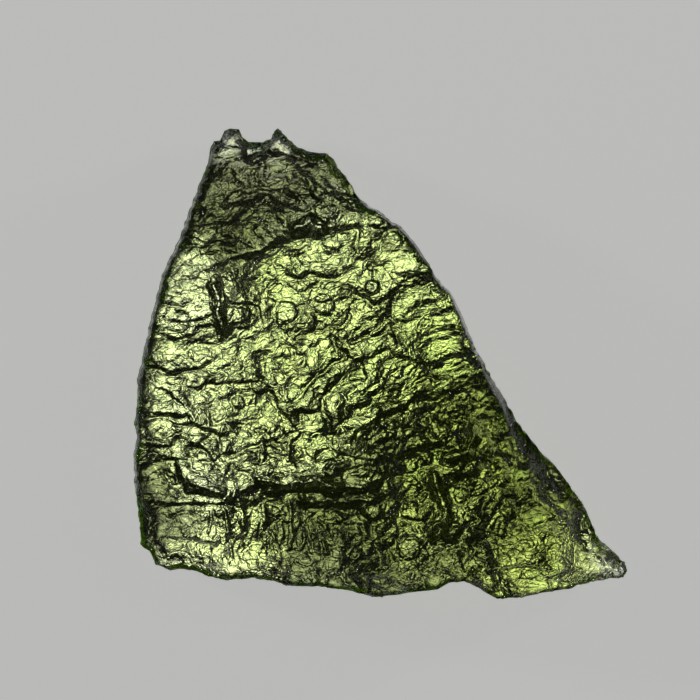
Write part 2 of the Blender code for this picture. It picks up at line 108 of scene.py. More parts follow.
# The creases of the front: the width of the steep side on the line's right, and the line.
CREASES = (
    # narrow tip and shoulder
    (0.46, ((-9.0, 14.4), (-8.5, 13.5), (-8.1, 13.7))),
    (0.20, ((-6.4, 13.7), (-5.6, 13.3))),
    (0.52, ((-5.1, 12.7), (-4.6, 12.4), (-4.2, 12.0), (-4.0, 11.5), (-3.3, 11.2))),
    (0.39, ((-2.7, 10.9), (-1.9, 10.1))),
    (0.20, ((-9.6, 12.4), (-9.2, 11.9), (-8.5, 11.4))),
    (0.20, ((-7.5, 11.8), (-6.2, 11.6))),
    (0.39, ((-10.1, 10.3), (-9.2, 10.4), (-8.5, 10.6), (-8.0, 10.9), (-7.2, 11.1), (-6.6, 10.6),
            (-5.9, 10.3), (-4.9, 10.0))),
    (0.20, ((-11.8, 8.9), (-10.8, 9.2), (-9.5, 9.2))),
    (0.26, ((-12.7, 8.3), (-12.1, 8.3), (-11.3, 8.0), (-9.5, 8.0))),
    (0.20, ((-12.4, 7.5), (-11.8, 7.5), (-11.0, 8.0))),
    # upper left and middle
    (0.39, ((-11.2, 6.2), (-11.0, 6.4), (-10.3, 6.6), (-9.8, 6.9), (-8.4, 7.1), (-7.7, 7.5),
            (-6.6, 8.0))),
    (0.52, ((-7.3, 7.7), (-6.9, 8.1), (-5.7, 8.5), (-5.1, 9.2), (-4.6, 9.3), (-3.8, 8.8),
            (-3.8, 8.4))),
    (0.78, ((-5.7, 8.7), (-4.7, 8.9), (-3.8, 8.8))),
    (0.26, ((-3.0, 8.6), (-1.7, 8.8), (-1.3, 8.6), (-1.2, 8.0), (-1.4, 7.5))),
    (0.20, ((-0.4, 8.8), (0.7, 8.8))),
    (0.39, ((-5.7, 5.9), (-5.3, 5.7), (-4.5, 6.0), (-3.0, 5.8))),
    (0.20, ((-10.9, 5.5), (-10.5, 5.6), (-9.4, 5.5))),
    (0.26, ((-10.1, 4.1), (-9.2, 4.0), (-8.2, 4.0), (-7.7, 3.6), (-7.7, 3.1))),
    (0.20, ((-9.2, 2.5), (-8.6, 2.3))),
    (0.20, ((-6.6, 2.7), (-6.2, 2.1), (-5.7, 2.4))),
    (0.20, ((-4.1, 4.1), (-3.0, 4.1))),
    (0.20, ((-4.0, 3.4), (-3.3, 3.1))),
    (0.33, ((-1.5, 4.7), (-1.0, 4.4), (-0.4, 4.1), (0.9, 4.9))),
    (0.33, ((-1.0, 3.6), (-1.4, 3.6), (-1.7, 3.2), (-1.9, 2.3), (-2.8, 1.8), (-2.7, 1.4),
            (-2.3, 1.0), (-1.2, 0.2), (-0.7, -0.8), (-1.2, -1.6))),
    (0.20, ((-2.8, 2.1), (-4.0, 1.8), (-5.3, 1.5))),
    # left scales
    (0.20, ((-14.7, 3.9), (-14.0, 4.1), (-12.7, 3.9))),
    (0.20, ((-12.9, 2.8), (-11.8, 2.9), (-11.1, 3.2))),
    (0.20, ((-13.7, 2.0), (-13.2, 1.6), (-12.1, 2.1))),
    (0.26, ((-5.3, 0.8), (-4.5, 0.5), (-4.9, -0.5), (-6.9, -0.9))),
    (0.26, ((-15.0, 0.1), (-13.7, -0.4), (-11.8, -0.2), (-11.1, 0.1))),
    (0.20, ((-15.0, -1.1), (-14.0, -1.6), (-13.4, -1.8), (-12.9, -2.5))),
    (0.20, ((-12.4, -1.4), (-11.8, -1.6), (-10.9, -1.0))),
    (0.20, ((-10.9, -1.2), (-8.8, -1.2), (-7.7, -1.0))),
    (0.26, ((-1.9, 0.5), (-3.3, -0.6), (-4.5, -1.5))),
    (0.33, ((-7.2, -1.1), (-6.7, -2.3), (-6.1, -3.2))),
    (0.20, ((-6.4, -1.1), (-6.3, -1.9))),
    (0.26, ((-4.0, -1.0), (-4.9, -2.1), (-5.8, -2.9))),
    (0.39, ((-1.4, -1.2), (-2.7, -1.8), (-3.4, -2.5), (-3.2, -3.2), (-2.9, -4.2))),
    (0.26, ((-2.7, -3.7), (-1.4, -4.2), (-0.4, -3.4))),
    (0.33, ((-15.7, -3.1), (-14.0, -3.2), (-12.4, -3.2), (-11.8, -4.0), (-10.1, -4.4))),
    (0.20, ((-13.1, -3.8), (-12.1, -3.9))),
    (0.26, ((-12.1, -5.0), (-11.6, -5.2), (-10.8, -6.0), (-10.5, -6.5))),
    (0.20, ((-10.3, -4.4), (-10.1, -5.0), (-10.2, -5.5))),
    (0.33, ((-9.8, -5.6), (-9.2, -5.3), (-7.7, -4.9), (-6.9, -4.7))),
    (0.26, ((-6.9, -4.7), (-6.2, -5.0), (-5.3, -4.6))),
    (0.20, ((-7.7, -5.7), (-5.9, -5.7))),
    (0.20, ((-16.0, -5.0), (-13.7, -5.2))),
    (0.20, ((-13.8, -6.0), (-11.1, -6.2))),
    # low trough and flutes
    (0.33, ((-13.1, -6.6), (-12.7, -7.3), (-11.8, -7.9), (-10.5, -8.4))),
    (0.65, ((-12.1, -7.9), (-9.5, -8.3), (-8.0, -7.5), (-6.6, -7.9), (-4.6, -7.7), (-2.7, -8.1),
            (-0.7, -7.6))),
    (0.52, ((-5.9, -7.2), (-4.0, -7.3))),
    (0.33, ((-9.2, -6.5), (-7.2, -7.1), (-4.6, -6.8), (-2.0, -6.5), (-0.4, -6.3))),
    (0.26, ((-15.7, -8.8), (-12.0, -9.0), (-9.2, -8.9), (-7.9, -8.6))),
    (0.39, ((-3.3, -8.9), (-1.4, -8.8), (-0.6, -9.9))),
    (0.26, ((-16.0, -11.5), (-15.0, -11.1), (-12.1, -11.2), (-10.8, -11.5))),
    (0.26, ((-14.4, -12.9), (-11.4, -13.8))),
    (0.20, ((-8.5, -13.9), (-7.7, -13.7), (-7.2, -13.9))),
    # right waves
    (0.20, ((1.8, 3.4), (2.2, 3.9), (2.9, 4.1), (3.5, 4.1))),
    (0.39, ((1.2, 5.9), (2.2, 6.0), (3.2, 5.9))),
    (0.20, ((0.9, 2.9), (1.4, 2.8), (1.9, 2.9))),
    (0.33, ((-1.0, 0.5), (0.3, 1.2), (1.6, 0.5), (2.4, 0.2), (3.2, 0.1), (4.2, 0.7), (5.0, 0.8))),
    (0.26, ((5.3, 2.8), (5.6, 2.1), (5.3, 1.2))),
    (0.58, ((5.5, -0.7), (4.5, -1.0), (3.2, -1.4), (2.2, -1.9), (1.6, -2.5), (0.7, -2.9),
            (-0.4, -3.4), (-1.4, -4.0))),
    (0.20, ((3.5, -2.1), (4.5, -1.6), (5.3, -1.4), (5.8, -2.1), (5.7, -2.5))),
    (0.20, ((5.8, -0.5), (6.1, -1.1), (6.6, -1.8), (6.3, -2.3))),
    (0.20, ((7.2, -1.4), (7.6, -2.1), (7.7, -2.7))),
    (0.33, ((1.2, -3.7), (2.2, -4.0), (3.2, -3.8), (3.6, -4.5))),
    (0.33, ((-2.7, -5.7), (-0.1, -6.1), (1.9, -5.5), (3.8, -4.9))),
    (0.26, ((-0.1, -5.0), (0.9, -4.7), (1.9, -4.5))),
    # dark swirls at the lower right
    (0.39, ((7.3, -4.4), (7.6, -5.0), (7.7, -5.7), (8.2, -6.2))),
    (0.46, ((4.8, -7.1), (5.8, -6.8), (6.3, -6.0), (6.8, -5.5))),
    (0.33, ((1.6, -9.6), (2.2, -9.9), (2.9, -9.6))),
    (0.26, ((4.9, -9.7), (5.3, -10.1), (5.9, -10.0))),
    (0.26, ((9.5, -10.2), (10.0, -9.9), (10.9, -9.7))),
    (0.33, ((3.2, -10.9), (3.6, -11.1), (4.2, -11.5), (4.6, -11.2))),
    (0.39, ((5.5, -11.8), (5.8, -12.3), (5.7, -12.7))),
    (0.26, ((6.1, -10.4), (7.1, -10.7), (7.7, -10.9))),
    (0.20, ((7.7, -12.0), (8.3, -12.3), (8.5, -12.8))),
    (0.20, ((8.7, -12.3), (9.4, -12.6))),
    (0.20, ((12.9, -11.2), (13.3, -11.8))),
    (0.26, ((6.8, -13.0), (7.7, -12.9), (9.7, -12.8), (10.7, -13.1))),
    (0.20, ((8.7, -13.9), (9.7, -14.0), (11.0, -14.0), (12.3, -13.9))),
    (0.33, ((11.6, -14.4), (12.3, -14.3), (13.6, -14.0), (14.2, -13.8))),
    (0.26, ((6.3, -13.1), (7.0, -13.6), (7.2, -14.2), (6.9, -14.9))),
    (0.33, ((10.3, -8.3), (11.3, -9.2), (12.3, -10.2), (13.3, -11.0))),
)

# The trenches of the front, with two steep sides: half the width and the line.
TRENCHES = (
    (0.30, ((-10.9, 5.3), (-10.8, 4.7), (-10.6, 3.9))),
    (0.62, ((-10.7, 5.0), (-10.6, 3.9), (-10.5, 3.1), (-10.2, 2.4))),
    (0.34, ((-10.3, 3.9), (-10.2, 3.1), (-10.0, 2.5))),
    (0.24, ((-10.5, 2.1), (-10.4, 1.5))),
    (0.20, ((-7.7, -5.2), (-7.7, -6.3))),
    (0.20, ((-5.9, -5.1), (-5.9, -6.3))),
    (0.22, ((-10.1, -9.6), (-9.9, -10.9))),
    (0.18, ((-11.0, -9.6), (-11.2, -10.9))),
    (0.22, ((-9.2, -8.9), (-8.8, -10.5))),
    (0.22, ((-7.5, -9.2), (-7.4, -10.2))),
    (0.22, ((-5.9, -8.9), (-5.9, -10.2))),
    (0.22, ((-5.8, -10.5), (-5.8, -11.8))),
    (0.22, ((-7.1, -10.9), (-6.9, -11.5))),
    (0.22, ((-4.0, -10.2), (-3.6, -10.7))),
    (0.22, ((-3.8, -11.5), (-3.6, -12.3))),
    (0.22, ((-2.7, -10.9), (-2.5, -11.8))),
    (0.22, ((-5.0, -10.9), (-5.1, -11.8))),
    (0.20, ((-9.7, -11.8), (-9.6, -12.5))),
    (0.55, ((6.0, -4.0), (5.8, -4.9), (5.5, -5.7), (4.8, -6.0), (4.2, -6.0))),
    (0.70, ((3.3, -7.1), (3.7, -8.3), (4.2, -9.4), (3.8, -10.9))),
    (0.40, ((8.4, -5.0), (8.7, -6.0), (9.0, -6.4))),
    (0.40, ((8.1, -8.8), (8.2, -9.6))),
    (0.35, ((-5.2, -8.0), (-5.0, -8.8))),
    (0.50, ((-8.0, -7.5), (-6.4, -7.7), (-4.4, -7.6), (-2.8, -7.9))),
    (0.55, ((-5.5, 8.8), (-4.7, 9.1), (-3.9, 8.7))),
)

# The round bubble pits of the front: x, y, radius and depth.
PITS = (
    (-9.6, 4.9, 0.60, 0.30), (-8.9, 3.1, 0.60, 0.30), (-6.1, 3.3, 0.80, 0.35),
    (-3.7, 3.8, 0.80, 0.35), (-0.6, 4.9, 0.55, 0.50), (-7.8, -1.4, 0.65, 0.35),
    (-9.2, -2.5, 0.50, 0.35), (0.7, 7.8, 0.75, 0.30), (5.0, -8.6, 0.40, 0.40),
    (1.8, -11.8, 0.90, 0.35), (10.0, -10.0, 0.90, 0.25), (11.5, -10.0, 0.40, 0.25),
    (-13.1, 2.7, 0.85, 0.25),
)

# Bands that overlap across the flow: angle, length, width, depth and seed.
SHINGLES = (
    (8.0, 3.0, 1.45, 0.16, 31),
    (11.0, 1.3, 0.62, 0.05, 35),
)

# Cups with a groove round each: zone, angle, length, width, depth, groove and seed.
BROAD_SCALES = (
    ("scaly", 8.0, 1.25, 0.88, 0.42, 0.08, 41),
    ("swirl", 35.0, 1.30, 0.80, 0.22, 0.06, 45),
)
FINE_SCALES = (
    ("all", 20.0, 0.62, 0.48, 0.10, 0.05, 43),
)

# Fine wrinkles: zone, angle, length, width, height and seed.
WRINKLES = (
    ("swirl", 40.0, 1.10, 0.42, 0.140, 55),
    ("flutes", 86.0, 1.20, 0.50, 0.260, 59),
)

# Worn, frosted places on the edge: x, y and radius.
FROSTED = (
    (-9.9, 15.0, 1.1), (-6.7, 15.0, 1.1), (-8.1, 14.6, 0.8), (-4.4, 14.0, 0.9), (15.6, -13.4, 1.9),
    (-14.9, -13.2, 1.5), (-9.0, -14.4, 1.1), (-1.0, -15.4, 1.1), (11.4, -6.2, 1.0),
    (12.4, -7.4, 0.9), (13.9, -9.6, 1.0), (9.8, -4.2, 0.8), (7.0, -15.3, 0.8), (4.9, 4.5, 0.5),
)

# The steps of the meshes: over the front, over the back, along the edge and along the opening.
FRONT_STEP = 0.094
BACK_STEP = 0.30
RIM_STEP = 0.14
HOLE_STEP = 0.6

# Chips in the edge: rate, depth and seed.
CHIPS = ((1.3, 0.12, 3), (3.1, 0.08, 4))

# Noise on the width of the edge, on the lip and on the rim: amount, size and seed.
WIDTH_NOISE = (0.3, 1.4, 14)
LIP_NOISE = (0.9, 0.8, 16)
RIM_NOISE = (0.14, 0.5, 13)

# How values fade between the control points: softness near each, and power of the distance.
CONTROL_SOFTNESS = 0.3
CONTROL_POWER = 1.5

# The edge: the front's inset, the heights of the back's edge and of the widest line, the ring
# between them, and how far the front's edge is rounded.
CHAMFER = 0.12
RIM_LOW = 0.45
RIM_MIDDLE = 0.95
LOW_RING_INSET = 0.06
LOW_RING_HEIGHT = 0.66
EDGE_ROUND = 0.35

# The sides: how many rings, where the top one lies below the front's edge, how far the widest line
# rises and falls, and the depths and sizes (along and up) of the cups.
SIDE_RINGS = 13
SIDE_TOP = 0.95
SIDE_LIFT = 0.25
SIDE_INSET = 0.04
SIDE_DEPTH = 0.40
SIDE_FINE = 0.10
SIDE_CELL = (1.7, 1.0)
SIDE_FINE_CELL = (0.6, 0.4)
SIDE_BEND = 0.4
SIDE_BEND_SIZE = (1.6, 0.8)
SIDE_CREST = 0.9

# How creases waver: size, shift and the seeds along x and y.
CREASE_WAVES = ((0.9, 0.15, 21, 22), (0.4, 0.07, 23, 24))

# Creases and trenches: depth for each millimetre of width, the gentle side's width in steep ones,
# how the depths of crossing creases are held back, and how much the steep sides swell.
CREASE_SLOPE = 1.35
CREASE_GENTLE = 4.0
CREASE_GENTLE_POWER = 1.4
CREASE_STEEP_POWER = 1.3
CREASE_LIMIT = 0.35
CREASE_SWELL = 0.6
CREASE_SWELL_SIZE = 0.8
TRENCH_SLOPE = 1.5

# How much of the relief is lost in creases, trenches and pits.
CREASE_CALM = 0.7
PIT_CALM = 0.75

# The faint rings round the pits: height, rate and reach, in radii.
PIT_RING_HEIGHT = 0.035
PIT_RING_RATE = 10.0
PIT_RING_REACH = 1.8

# The small forms of the bands, cups and wrinkles.
SHINGLE_WANDER = 1.3
SHINGLE_FINE_WANDER = 0.5
SHINGLE_DROP = 0.22
SHINGLE_MEAN = 0.6
SHINGLE_CHANGE = 0.6
SCALE_BEND = 0.40
SCALE_RING_SHARE = 0.03
SCALE_RING_PITCH = 0.34
SCALE_GROOVE_WIDTH = 0.10
SCALE_CREST = 0.9
WRINKLE_BEND = 0.8
WRINKLE_BEND_SIZE = (1.1, 0.9)
WRINKLE_THINNESS = 1.9
WRINKLE_POWER = 1.5

# Where flutes show (left, right, low and high), how softly each limit fades, how much of the cups
# they take, and where swirls show.
FLUTE_LIMITS = (-13.5, 5.0, -13.6, -8.6)
FLUTE_FADES = (4.0, 4.0, 2.5, 2.0)
FLUTE_CALM = 0.6
SWIRL_CENTRE = (5.0, -6.0)
SWIRL_RADIUS = 9.0
SWIRL_LEFT = -3.0
SWIRL_FADE = 3.0

# The slow swell of the front, and the grains on its worn places.
SWELL = 5.5
SWELL_HEIGHT = 0.30
GRAIN_SIZE = 0.42
GRAIN_HEIGHT = 0.30

# How patchy the worn places are: rate, amount and seed.
FROST_PATCHES = ((2.2, 0.4, 91), (5.0, 0.5, 92))

# The back: two sizes of knobs, how much is worn off them, and the lift near the edge.
BACK_CELL = 2.6
BACK_DEPTH = 0.55
BACK_SMALL_CELL = 0.9
BACK_SMALL_DEPTH = 0.10
BACK_WORN = 0.24
BACK_LIFT = 0.35
BACK_LIFT_WIDTH = 1.6

# The glass: clear inside, with the colour from its depth. The density is for each metre.
GLASS_IOR = 1.49
GLASS_COLOUR = (0.767, 0.90, 0.067, 1.0)
GLASS_DENSITY = 300.0
GLASS_ROUGHNESS = 0.03
WORN_ROUGHNESS = 0.20

# The etching of the skin: bump distance, the flow's angle and sway, the grooves (rate along each
# axis, width and depth), the grain between them, and the strengths on the front and on the back.
ETCH_DEPTH = 0.001
ETCH_TURN = -8.0
ETCH_SWAY = 0.9
ETCH_GROOVES = (((1.0, 1.7, 1.3), 0.12, -0.05), ((2.3, 4.2, 3.0), 0.18, -0.02))
ETCH_GRAIN = 0.05
FRONT_ETCHED = 0.8
BACK_ETCHED = 0.15

# The pale floor, its opening and the dark well under it.
FLOOR_HALF = 600.0
FLOOR_Z = -0.05
FLOOR_COLOUR = (0.86, 0.86, 0.84, 1.0)
FLOOR_GLOW_COLOUR = (1.0, 1.0, 0.98, 1.0)
FLOOR_GLOW = 0.45
HOLE_INSET = 0.28
WELL_HALF = 60.0
WELL_DEPTH = 110.0
WELL_GAP = 0.25
WELL_COLOUR = (0.02, 0.02, 0.02, 1.0)
DULL = 0.9

# The lamps in the well, which all lean the same way: name, place, size, power, spread and colour.
WELL_AIM = (0.08, -0.12, 1.0)
LAMP_COLOUR = (0.92, 0.96, 0.76)
MAIN_COLOUR = (0.92, 0.95, 0.93)
LOW_COLOUR = (0.92, 0.98, 0.60)
GLEAM_COLOUR = (0.50, 0.05, 1.0)
WELL_LAMPS = (
    ("all_lamp", (-1.0, -1.0, -26.0), (40.0, 40.0), 0.000066, 25.0, LAMP_COLOUR),
    ("main_lamp", (-5.5, 2.0, -10.0), (23.0, 13.0), 0.000047, 33.0, MAIN_COLOUR),
    ("corner_lamp", (-12.0, -12.6, -6.0), (9.0, 4.0), 0.0000062, 33.0, LAMP_COLOUR),
    ("left_lamp", (-13.5, 5.5, -6.0), (5.5, 5.0), 0.0000032, 33.0, MAIN_COLOUR),
    ("dark_lamp", (3.2, -7.2, -6.0), (8.5, 6.5), 0.0000026, 25.0, LAMP_COLOUR),
    ("low_lamp", (9.0, -12.6, -6.0), (10.5, 4.4), 0.0000040, 33.0, LOW_COLOUR),
    ("gleam_lamp", (-5.5, 2.0, -10.0), (23.0, 13.0), 0.000060, 26.0, GLEAM_COLOUR),
)

# The lamps close under the worn edges, which shine straight up: name, place, size, power and turn.
EDGE_SPREAD = 80.0
EDGE_COLOUR = (0.80, 0.78, 1.0)
EDGE_LAMPS = (
    ("tip_lamp", (-8.0, 15.0, -2.5), (7.0, 2.4), 0.0000081, 0.0),
    ("edge_lamp", (12.4, -8.0, -2.5), (1.8, 12.0), 0.0000090, 34.0),
    ("point_lamp", (15.2, -13.3, -2.5), (3.0, 2.4), 0.000002025, 0.0),
    ("low_edge_lamp", (-12.0, -14.3, -2.5), (8.0, 2.0), 0.0000045, 0.0),
)

# The lamps above the floor: name, place, aim, size and power.
STUDIO_LAMPS = (
    ("right_glint", (300.0, 120.0, 48.0), (-30.0, -12.0, -4.6), (40.0, 20.0), 0.075),
    ("left_glint", (-300.0, 100.0, 60.0), (30.0, -10.0, -5.8), (40.0, 20.0), 0.075),
    ("left_soft", (-1000.0, 250.0, 280.0), (10.0, -2.5, -2.8), (1000.0, 1000.0), 0.4),
    ("right_soft", (1000.0, 400.0, 280.0), (-10.0, -4.0, -2.8), (1000.0, 1000.0), 0.4),
)
SKY_COLOUR = (0.9, 0.95, 1.0, 1.0)
SKY = 0.02

CAMERA_LENS = 200.0
CAMERA_SENSOR = 36.0


def hashed(ix, iy, seed):
    """A repeatable number from 0 to 1 for each pair of whole numbers."""
    n = ix.astype(np.int64) * 374761393 + iy.astype(np.int64) * 668265263 + seed * 974634777
    n &= 0xFFFFFFFF
    n = ((n ^ (n >> 13)) * 1274126177) & 0xFFFFFFFF
    return (n ^ (n >> 16)) / 4294967296.0


def smooth(t):
    """A soft step: 0 up to 0, 1 from 1 on."""
    t = np.clip(t, 0.0, 1.0)
    return t * t * (3.0 - 2.0 * t)


def ripple(x, y, seed):
    """Gradient noise, from about -1 to 1, one lump to each unit."""
    ix, iy = np.floor(x), np.floor(y)
    fx, fy = x - ix, y - iy
    ux, uy = smooth(fx), smooth(fy)
    total = np.zeros_like(x)
    for dx in (0, 1):
        for dy in (0, 1):
            angle = 2.0 * math.pi * hashed(ix + dx, iy + dy, seed)
            share = (ux if dx else 1.0 - ux) * (uy if dy else 1.0 - uy)
            total += share * (np.cos(angle) * (fx - dx) + np.sin(angle) * (fy - dy))
    return 1.5 * total


def lumps(x, y, amount, size, seed):
    """Noise this strong, in lumps of this size."""
    return amount * ripple(x / size, y / size, seed)


def cells(x, y, seed):
    """Distances to the nearest and the second nearest of scattered points, one to each unit."""
    ix, iy = np.floor(x), np.floor(y)
    nearest = np.full_like(x, 9.0)
    second = np.full_like(x, 9.0)
    for dx in (-1, 0, 1):
        for dy in (-1, 0, 1):
            px = ix + dx + 0.1 + 0.8 * hashed(ix + dx, iy + dy, seed)
            py = iy + dy + 0.1 + 0.8 * hashed(ix + dx, iy + dy, seed + 57)
            away = np.hypot(x - px, y - py)
            second = np.minimum(second, np.maximum(nearest, away))
            nearest = np.minimum(nearest, away)
    return nearest, second


def turned(x, y, degrees):
    """(along, across) a direction that rises this much to the right."""
    c, s = math.cos(math.radians(degrees)), math.sin(math.radians(degrees))
    return x * c + y * s, y * c - x * s


def spread(controls, x, y):
    """Values between the control points, each weighed by its nearness."""
    total = np.zeros_like(x)
    weights = np.zeros_like(x)
    for cx, cy, value in controls:
        weight = 1.0 / ((x - cx) ** 2 + (y - cy) ** 2 + CONTROL_SOFTNESS) ** CONTROL_POWER
        total += weight * value
        weights += weight
    return total / weights


def line_distance(x, y, line):
    """Distance to a line of points, above zero on its left."""
    best = np.full_like(x, np.inf)
    side = np.zeros_like(x)
    for (ax, ay), (bx, by) in zip(line[:-1], line[1:]):
        dx, dy = bx - ax, by - ay
        t = np.clip(((x - ax) * dx + (y - ay) * dy) / (dx * dx + dy * dy), 0.0, 1.0)
        away = np.hypot(x - ax - t * dx, y - ay - t * dy)
        nearer = away < best
        side = np.where(nearer, dx * (y - ay) - dy * (x - ax), side)
        best = np.where(nearer, away, best)
    return np.where(side > 0.0, best, -best)


def resampled(line, step):
    """The line's own points, and even ones between them about a step apart."""
    points = []
    for (ax, ay), (bx, by) in zip(line[:-1], line[1:]):
        parts = max(1, math.ceil(math.hypot(bx - ax, by - ay) / step - 0.35))
        points += [(ax + (bx - ax) * i / parts, ay + (by - ay) * i / parts) for i in range(parts)]
    return np.array(points + [line[-1]])


def outward(ring):
    """Unit vectors pointing out of a clockwise ring."""
    chord = np.roll(ring, -1, axis=0) - np.roll(ring, 1, axis=0)
    normal = np.stack([-chord[:, 1], chord[:, 0]], axis=1)
    return normal / np.linalg.norm(normal, axis=1, keepdims=True)


def rim_ring():
    """The widest line of the edge, chipped inwards between the outline's own points."""
    ring = resampled(OUTLINE + OUTLINE[:1], RIM_STEP)[:-1]
    x, y = ring[:, 0], ring[:, 1]
    chips = sum(depth * np.abs(ripple(x * rate, y * rate, seed)) for rate, depth, seed in CHIPS)
    return ring - outward(ring) * chips[:, None]


def edge_distance(points, ring):
    """Distance to the ring, from every second of its points."""
    closed = np.vstack([ring, ring[:1]])
    return np.abs(line_distance(points[:, 0], points[:, 1], closed[::2]))


def lattice(ring, step):
    """Hexagonal points inside the ring, and not too near it."""
    a, b = ring, np.roll(ring, -1, axis=0)
    low, high = ring[:, 1].min(), ring[:, 1].max()
    row_height = step * math.sqrt(3.0) / 2.0
    inside = []
    for row in range(1, math.ceil((high - low) / row_height)):
        y = low + row * row_height
        hit = (a[:, 1] > y) != (b[:, 1] > y)
        reach = (y - a[hit, 1]) / (b[hit, 1] - a[hit, 1])
        crossings = np.sort(a[hit, 0] + reach * (b[hit, 0] - a[hit, 0]))
        shift = 0.5 * step * (row % 2)
        for left, right in zip(crossings[::2], crossings[1::2]):
            columns = np.arange(math.ceil((left - shift) / step), (right - shift) / step)
            inside.append(np.stack([columns * step + shift, np.full(len(columns), y)], axis=1))
    points = np.vstack(inside)
    return points[edge_distance(points, ring) > 0.6 * step]


def filled(ring, step):
    """(points, triangles) over the ring: its own points first, then a lattice."""
    points = np.vstack([ring, lattice(ring, step)])
    count = len(ring)
    bonds = [(i, (i + 1) % count) for i in range(count)]
    verts, _, faces, _, _, _ = delaunay_2d_cdt([Vector(p) for p in points], bonds, [], 1, 1e-7)
    return np.array([(v.x, v.y) for v in verts]), faces


def wavered(x, y):
    """The places moved a little, so that lines drawn on them waver."""
    moved_x, moved_y = x, y
    for size, shift, seed_x, seed_y in CREASE_WAVES:
        moved_x = moved_x + lumps(x, y, shift, size, seed_x)
        moved_y = moved_y + lumps(x, y, shift, size, seed_y)
    return moved_x, moved_y


def swollen(x, y):
    """How much wider the steep sides are from place to place."""
    lump = ripple(x / CREASE_SWELL_SIZE, y / CREASE_SWELL_SIZE, 26)
    return 1.0 + CREASE_SWELL * np.clip(lump, -0.3, 1.0)


def crease_depth(x, y):
    """(depth, nearness) of the creases, each with a steep side and a gentle one."""
    moved_x, moved_y = wavered(x, y)
    wider = swollen(x, y)
    total = np.zeros_like(x)
    near = np.zeros_like(x)
    for width, line in CREASES:
        side = line_distance(moved_x, moved_y, line) / width
        gentle = np.clip(1.0 - side / CREASE_GENTLE, 0.0, 1.0) ** CREASE_GENTLE_POWER
        steep = 1.0 - np.clip(-side / wider, 0.0, 1.0) ** CREASE_STEEP_POWER
        total += width * np.where(side > 0.0, gentle, steep)
        near = np.maximum(near, 1.0 - smooth(np.abs(side + 0.5) - 0.5))
    return CREASE_SLOPE * total / (1.0 + CREASE_LIMIT * total), near


def trench_depth(x, y):
    """(depth, nearness) of the trenches."""
    moved_x, moved_y = wavered(x, y)
    wider = swollen(x, y)
    cut = np.zeros_like(x)
    near = np.zeros_like(x)
    for width, line in TRENCHES:
        away = np.abs(line_distance(moved_x, moved_y, line)) / (width * wider)
        cut = np.maximum(cut, width * np.clip(1.0 - away, 0.0, 1.0))
        near = np.maximum(near, 1.0 - smooth(away - 0.5))
    return TRENCH_SLOPE * cut, near


def pit_depth(x, y):
    """(depth, nearness) of the round pits, with a faint ring or two round each."""
    total = np.zeros_like(x)
    near = np.zeros_like(x)
    for cx, cy, radius, depth in PITS:
        away = np.hypot(x - cx, y - cy) / radius
        rings = PIT_RING_HEIGHT * np.cos(away * PIT_RING_RATE) * (1.0 - smooth(away / PIT_RING_REACH))
        bowl = 1.0 - np.clip(away, 0.0, 1.0) ** 3
        total += depth * bowl + rings
        near = np.maximum(near, 1.0 - smooth(away - 0.4))
    return total, near


def shingle(x, y, degrees, length, width, depth, seed):
    """Overlapping bands across the flow: each rises slowly and drops steeply."""
    along, across = turned(x, y, degrees)
    wander = SHINGLE_WANDER * ripple(along / length, across / (1.8 * width), seed)
    wander += SHINGLE_FINE_WANDER * ripple(2.3 * along / length, across / width, seed + 1)
    phase = across / width + wander
    share = phase - np.floor(phase)
    drop = np.where(share < SHINGLE_DROP, share / SHINGLE_DROP, (1.0 - share) / (1.0 - SHINGLE_DROP))
    change = ripple(1.3 * along / length, across / width, seed + 2)
    strength = SHINGLE_MEAN + SHINGLE_CHANGE * change
    return depth * strength * (drop - 0.5)


def scale(x, y, degrees, length, width, depth, groove, seed):
    """Shallow cups with fine rings in them, crests between them and a groove round each."""
    along, across = turned(x, y, degrees)
    bend_x = SCALE_BEND * ripple(along / length, across / width, seed + 5)
    bend_y = SCALE_BEND * ripple(along / length, across / width, seed + 6)
    nearest, second = cells(along / length + bend_x, across / width + bend_y, seed)
    cup = depth * (np.minimum(nearest, SCALE_CREST) ** 2 - 0.3)
    rings = SCALE_RING_SHARE * depth * np.cos(nearest * width * 2.0 * math.pi / SCALE_RING_PITCH)
    return cup + rings - groove * np.exp(-(second - nearest) * width / SCALE_GROOVE_WIDTH)


def wrinkle(x, y, degrees, length, width, height, seed):
    """Fine sharp wrinkles that follow the flow."""
    along, across = turned(x, y, degrees)
    bend_along, bend_across = WRINKLE_BEND_SIZE
    bend = WRINKLE_BEND * ripple(along / bend_along, across / bend_across, seed + 3)
    fold = ripple(along / length + bend, across / width + bend, seed)
    return height * np.clip(1.0 - np.abs(fold) * WRINKLE_THINNESS, 0.0, 1.0) ** WRINKLE_POWER


def zones(x, y):
    """Where each kind of relief shows, from 0 to 1: flutes along the low edge, swirls at the right."""
    left, right, low, high = FLUTE_LIMITS
    fade_left, fade_right, fade_low, fade_high = FLUTE_FADES
    flutes = smooth((high - y) / fade_high) * smooth((right - x) / fade_right)
    flutes = flutes * smooth((y - low) / fade_low) * smooth((x - left) / fade_left)
    away = np.hypot(x - SWIRL_CENTRE[0], y - SWIRL_CENTRE[1]) / SWIRL_RADIUS
    swirl = smooth((x - SWIRL_LEFT) / SWIRL_FADE) * smooth((1.0 - away) * SWIRL_FADE)
    return {"all": 1.0, "flutes": flutes, "swirl": swirl, "scaly": 1.0 - FLUTE_CALM * flutes}


